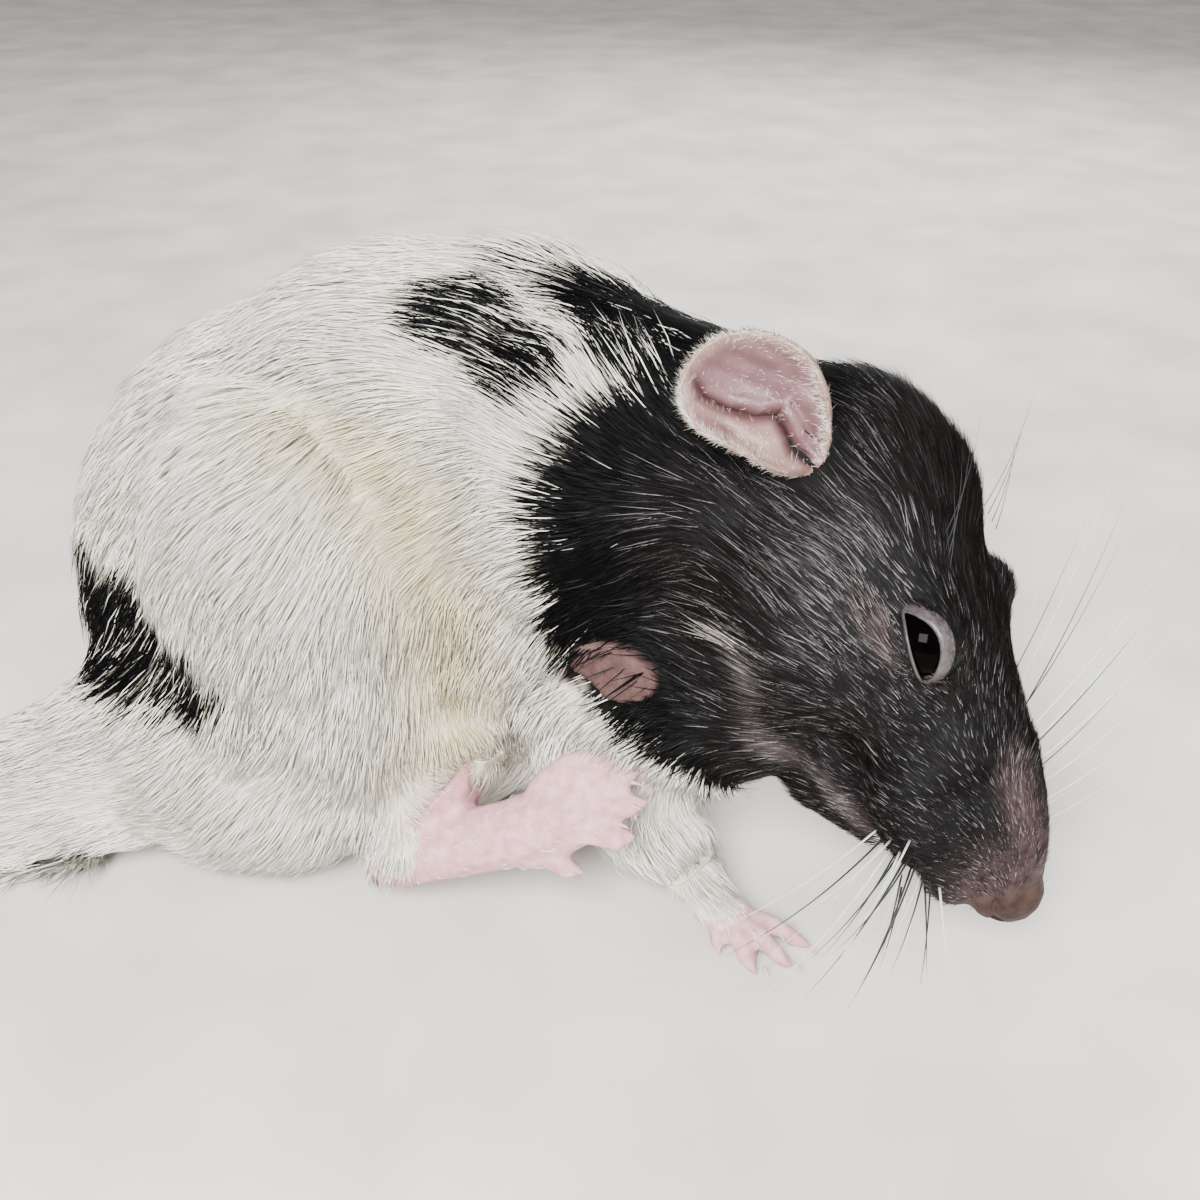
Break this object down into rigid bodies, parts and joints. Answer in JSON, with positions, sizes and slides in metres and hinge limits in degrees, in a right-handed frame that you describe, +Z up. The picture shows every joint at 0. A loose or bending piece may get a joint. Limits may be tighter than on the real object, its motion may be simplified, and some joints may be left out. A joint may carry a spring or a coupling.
{
  "type": "pet rat",
  "caption": "Hooded pet rat, life size, sitting hunched with its nose low and one hind foot raised to scratch; black head and shoulders, white body.",
  "frame": {"origin": "centre of the bounding box's underside, on the floor that the rat rests on", "axes": "+X the way the rat faces, +Y its left side, +Z up"},
  "size_m": [0.2678, 0.1026, 0.0636],
  "materials": {
    "white_coat": "short soft cream-white fur",
    "black_coat": "short glossy black fur, greyer on the face",
    "bare_skin": "thin pink skin with a fine down",
    "nose_skin": "moist brownish pink skin",
    "eye_gloss": "wet black eye",
    "tail_skin": "ringed scaly skin with short bristles"
  },
  "bodies": {
    "root": {"torso": "white_coat", "rump": "white_coat", "forearm_right": "white_coat", "forearm_left": "white_coat", "lower_leg_right": "white_coat", "lower_leg_left": "white_coat", "thigh_right": "white_coat", "thigh_left": "white_coat", "head": "black_coat", "neck": "black_coat", "muzzle": "black_coat", "lower_jaw": "black_coat", "whisker_pad_right": "black_coat", "whisker_pad_left": "black_coat", "ear_right": "bare_skin", "ear_left": "bare_skin", "forepaw_right": "bare_skin", "forepaw_left": "bare_skin", "hind_foot_right": "bare_skin", "hind_foot_left": "bare_skin", "nose": "nose_skin", "eye_right": "eye_gloss", "eye_left": "eye_gloss", "tail_1": "tail_skin", "tail_2": "tail_skin", "tail_3": "tail_skin", "tail_4": "tail_skin"}
  },
  "joints": []
}
